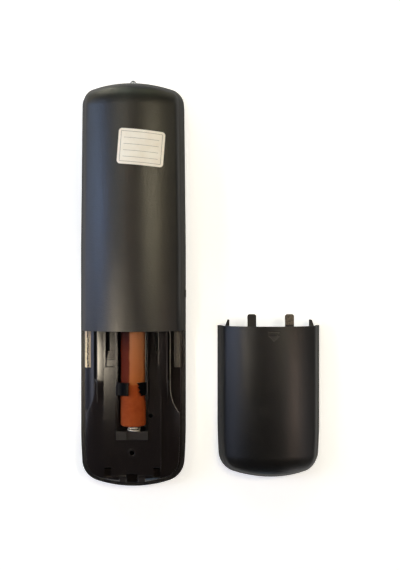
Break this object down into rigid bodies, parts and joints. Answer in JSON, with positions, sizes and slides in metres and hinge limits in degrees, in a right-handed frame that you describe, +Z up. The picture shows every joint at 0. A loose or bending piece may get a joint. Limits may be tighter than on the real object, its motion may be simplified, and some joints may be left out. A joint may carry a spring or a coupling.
{
  "type": "tv remote control",
  "caption": "Slim infrared TV remote lying face down with an arched back, an open battery bay with a cell in it, and its battery cover laid beside it.",
  "frame": {"origin": "on the table, midway between the outer edges of the case and of the cover that lies beside it, and midway between the lower end of the case and the tip of the infrared diode", "axes": "+Y along the remote towards its infrared end, +Z up out of its arched back, +X towards the loose cover"},
  "size_m": [0.104, 0.1744, 0.0231],
  "materials": {
    "back_plastic": "satin moulded plastic with a fine even grain",
    "front_plastic": "satin moulded plastic",
    "panel_plastic": "semi-gloss sheet",
    "cover_plastic": "satin moulded plastic with a fine even grain",
    "tray_plastic": "smooth moulded plastic",
    "mat_rubber": "matt silicone rubber",
    "key_rubber": "matt silicone rubber",
    "red_rubber": "matt silicone rubber",
    "green_rubber": "matt silicone rubber",
    "yellow_rubber": "matt silicone rubber",
    "blue_rubber": "matt silicone rubber",
    "board_laminate": "phenolic laminate",
    "clear_resin": "clear water-white resin",
    "chip_resin": "moulded black resin",
    "resonator_ceramic": "glazed ceramic",
    "capacitor_can": "sleeved aluminium can",
    "cell_sleeve": "orange shrink sleeve over a metal can, satin gloss",
    "spring_plating": "bright nickel plating",
    "contact_steel": "plated sheet steel",
    "label_paper": "coated paper, faintly yellowed"
  },
  "bodies": {
    "remote_body": {"rear_shell": "back_plastic", "front_shell": "front_plastic", "face_panel": "panel_plastic", "battery_tray": "tray_plastic", "keypad_mat": "mat_rubber", "circuit_board": "board_laminate", "infrared_diode": "clear_resin", "controller_chip": "chip_resin", "ceramic_resonator": "resonator_ceramic", "storage_capacitor": "capacitor_can", "driver_transistor": "chip_resin", "small_resistors": "resonator_ceramic", "lower_cell": "cell_sleeve", "upper_cell": "cell_sleeve", "negative_spring": "spring_plating", "positive_contact": "contact_steel", "paper_label": "label_paper"},
    "cover_body": {"battery_cover": "cover_plastic"},
    "key_power_body": {"key_power": "red_rubber"},
    "key_source_body": {"key_source": "key_rubber"},
    "key_ok_body": {"key_ok": "key_rubber"},
    "key_mute_body": {"key_mute": "key_rubber"},
    "key_volume_up_body": {"key_volume_up": "key_rubber"},
    "key_volume_down_body": {"key_volume_down": "key_rubber"},
    "key_programme_up_body": {"key_programme_up": "key_rubber"},
    "key_programme_down_body": {"key_programme_down": "key_rubber"},
    "key_text_body": {"key_text": "key_rubber"},
    "key_subtitle_body": {"key_subtitle": "key_rubber"},
    "key_format_body": {"key_format": "key_rubber"},
    "key_menu_body": {"key_menu": "key_rubber"},
    "key_info_body": {"key_info": "key_rubber"},
    "key_back_body": {"key_back": "key_rubber"},
    "key_red_body": {"key_red": "red_rubber"},
    "key_green_body": {"key_green": "green_rubber"},
    "key_yellow_body": {"key_yellow": "yellow_rubber"},
    "key_blue_body": {"key_blue": "blue_rubber"},
    "key_up_body": {"key_up": "key_rubber"},
    "key_right_body": {"key_right": "key_rubber"},
    "key_down_body": {"key_down": "key_rubber"},
    "key_left_body": {"key_left": "key_rubber"},
    "key_1_body": {"key_1": "key_rubber"},
    "key_2_body": {"key_2": "key_rubber"},
    "key_3_body": {"key_3": "key_rubber"},
    "key_4_body": {"key_4": "key_rubber"},
    "key_5_body": {"key_5": "key_rubber"},
    "key_6_body": {"key_6": "key_rubber"},
    "key_7_body": {"key_7": "key_rubber"},
    "key_8_body": {"key_8": "key_rubber"},
    "key_9_body": {"key_9": "key_rubber"},
    "key_list_body": {"key_list": "key_rubber"},
    "key_0_body": {"key_0": "key_rubber"},
    "key_swap_body": {"key_swap": "key_rubber"}
  },
  "joints": [
    {"name": "cover_lift", "type": "slide", "parent": "remote_body", "child": "cover_body", "axis": [0, 0, 1], "range_m": [0, 0.06]},
    {"name": "press_power", "type": "slide", "parent": "remote_body", "child": "key_power_body", "axis": [0, 0, 1], "range_m": [0, 0.0008], "stiffness_N_per_m": 1200},
    {"name": "press_source", "type": "slide", "parent": "remote_body", "child": "key_source_body", "axis": [0, 0, 1], "range_m": [0, 0.0008], "stiffness_N_per_m": 1200},
    {"name": "press_ok", "type": "slide", "parent": "remote_body", "child": "key_ok_body", "axis": [0, 0, 1], "range_m": [0, 0.0008], "stiffness_N_per_m": 1200},
    {"name": "press_mute", "type": "slide", "parent": "remote_body", "child": "key_mute_body", "axis": [0, 0, 1], "range_m": [0, 0.0008], "stiffness_N_per_m": 1200},
    {"name": "press_volume_up", "type": "slide", "parent": "remote_body", "child": "key_volume_up_body", "axis": [0, 0, 1], "range_m": [0, 0.0008], "stiffness_N_per_m": 1200},
    {"name": "press_volume_down", "type": "slide", "parent": "remote_body", "child": "key_volume_down_body", "axis": [0, 0, 1], "range_m": [0, 0.0008], "stiffness_N_per_m": 1200},
    {"name": "press_programme_up", "type": "slide", "parent": "remote_body", "child": "key_programme_up_body", "axis": [0, 0, 1], "range_m": [0, 0.0008], "stiffness_N_per_m": 1200},
    {"name": "press_programme_down", "type": "slide", "parent": "remote_body", "child": "key_programme_down_body", "axis": [0, 0, 1], "range_m": [0, 0.0008], "stiffness_N_per_m": 1200},
    {"name": "press_text", "type": "slide", "parent": "remote_body", "child": "key_text_body", "axis": [0, 0, 1], "range_m": [0, 0.0008], "stiffness_N_per_m": 1200},
    {"name": "press_subtitle", "type": "slide", "parent": "remote_body", "child": "key_subtitle_body", "axis": [0, 0, 1], "range_m": [0, 0.0008], "stiffness_N_per_m": 1200},
    {"name": "press_format", "type": "slide", "parent": "remote_body", "child": "key_format_body", "axis": [0, 0, 1], "range_m": [0, 0.0008], "stiffness_N_per_m": 1200},
    {"name": "press_menu", "type": "slide", "parent": "remote_body", "child": "key_menu_body", "axis": [0, 0, 1], "range_m": [0, 0.0008], "stiffness_N_per_m": 1200},
    {"name": "press_info", "type": "slide", "parent": "remote_body", "child": "key_info_body", "axis": [0, 0, 1], "range_m": [0, 0.0008], "stiffness_N_per_m": 1200},
    {"name": "press_back", "type": "slide", "parent": "remote_body", "child": "key_back_body", "axis": [0, 0, 1], "range_m": [0, 0.0008], "stiffness_N_per_m": 1200},
    {"name": "press_red", "type": "slide", "parent": "remote_body", "child": "key_red_body", "axis": [0, 0, 1], "range_m": [0, 0.0008], "stiffness_N_per_m": 1200},
    {"name": "press_green", "type": "slide", "parent": "remote_body", "child": "key_green_body", "axis": [0, 0, 1], "range_m": [0, 0.0008], "stiffness_N_per_m": 1200},
    {"name": "press_yellow", "type": "slide", "parent": "remote_body", "child": "key_yellow_body", "axis": [0, 0, 1], "range_m": [0, 0.0008], "stiffness_N_per_m": 1200},
    {"name": "press_blue", "type": "slide", "parent": "remote_body", "child": "key_blue_body", "axis": [0, 0, 1], "range_m": [0, 0.0008], "stiffness_N_per_m": 1200},
    {"name": "press_up", "type": "slide", "parent": "remote_body", "child": "key_up_body", "axis": [0, 0, 1], "range_m": [0, 0.0008], "stiffness_N_per_m": 1200},
    {"name": "press_right", "type": "slide", "parent": "remote_body", "child": "key_right_body", "axis": [0, 0, 1], "range_m": [0, 0.0008], "stiffness_N_per_m": 1200},
    {"name": "press_down", "type": "slide", "parent": "remote_body", "child": "key_down_body", "axis": [0, 0, 1], "range_m": [0, 0.0008], "stiffness_N_per_m": 1200},
    {"name": "press_left", "type": "slide", "parent": "remote_body", "child": "key_left_body", "axis": [0, 0, 1], "range_m": [0, 0.0008], "stiffness_N_per_m": 1200},
    {"name": "press_1", "type": "slide", "parent": "remote_body", "child": "key_1_body", "axis": [0, 0, 1], "range_m": [0, 0.0008], "stiffness_N_per_m": 1200},
    {"name": "press_2", "type": "slide", "parent": "remote_body", "child": "key_2_body", "axis": [0, 0, 1], "range_m": [0, 0.0008], "stiffness_N_per_m": 1200},
    {"name": "press_3", "type": "slide", "parent": "remote_body", "child": "key_3_body", "axis": [0, 0, 1], "range_m": [0, 0.0008], "stiffness_N_per_m": 1200},
    {"name": "press_4", "type": "slide", "parent": "remote_body", "child": "key_4_body", "axis": [0, 0, 1], "range_m": [0, 0.0008], "stiffness_N_per_m": 1200},
    {"name": "press_5", "type": "slide", "parent": "remote_body", "child": "key_5_body", "axis": [0, 0, 1], "range_m": [0, 0.0008], "stiffness_N_per_m": 1200},
    {"name": "press_6", "type": "slide", "parent": "remote_body", "child": "key_6_body", "axis": [0, 0, 1], "range_m": [0, 0.0008], "stiffness_N_per_m": 1200},
    {"name": "press_7", "type": "slide", "parent": "remote_body", "child": "key_7_body", "axis": [0, 0, 1], "range_m": [0, 0.0008], "stiffness_N_per_m": 1200},
    {"name": "press_8", "type": "slide", "parent": "remote_body", "child": "key_8_body", "axis": [0, 0, 1], "range_m": [0, 0.0008], "stiffness_N_per_m": 1200},
    {"name": "press_9", "type": "slide", "parent": "remote_body", "child": "key_9_body", "axis": [0, 0, 1], "range_m": [0, 0.0008], "stiffness_N_per_m": 1200},
    {"name": "press_list", "type": "slide", "parent": "remote_body", "child": "key_list_body", "axis": [0, 0, 1], "range_m": [0, 0.0008], "stiffness_N_per_m": 1200},
    {"name": "press_0", "type": "slide", "parent": "remote_body", "child": "key_0_body", "axis": [0, 0, 1], "range_m": [0, 0.0008], "stiffness_N_per_m": 1200},
    {"name": "press_swap", "type": "slide", "parent": "remote_body", "child": "key_swap_body", "axis": [0, 0, 1], "range_m": [0, 0.0008], "stiffness_N_per_m": 1200}
  ]
}
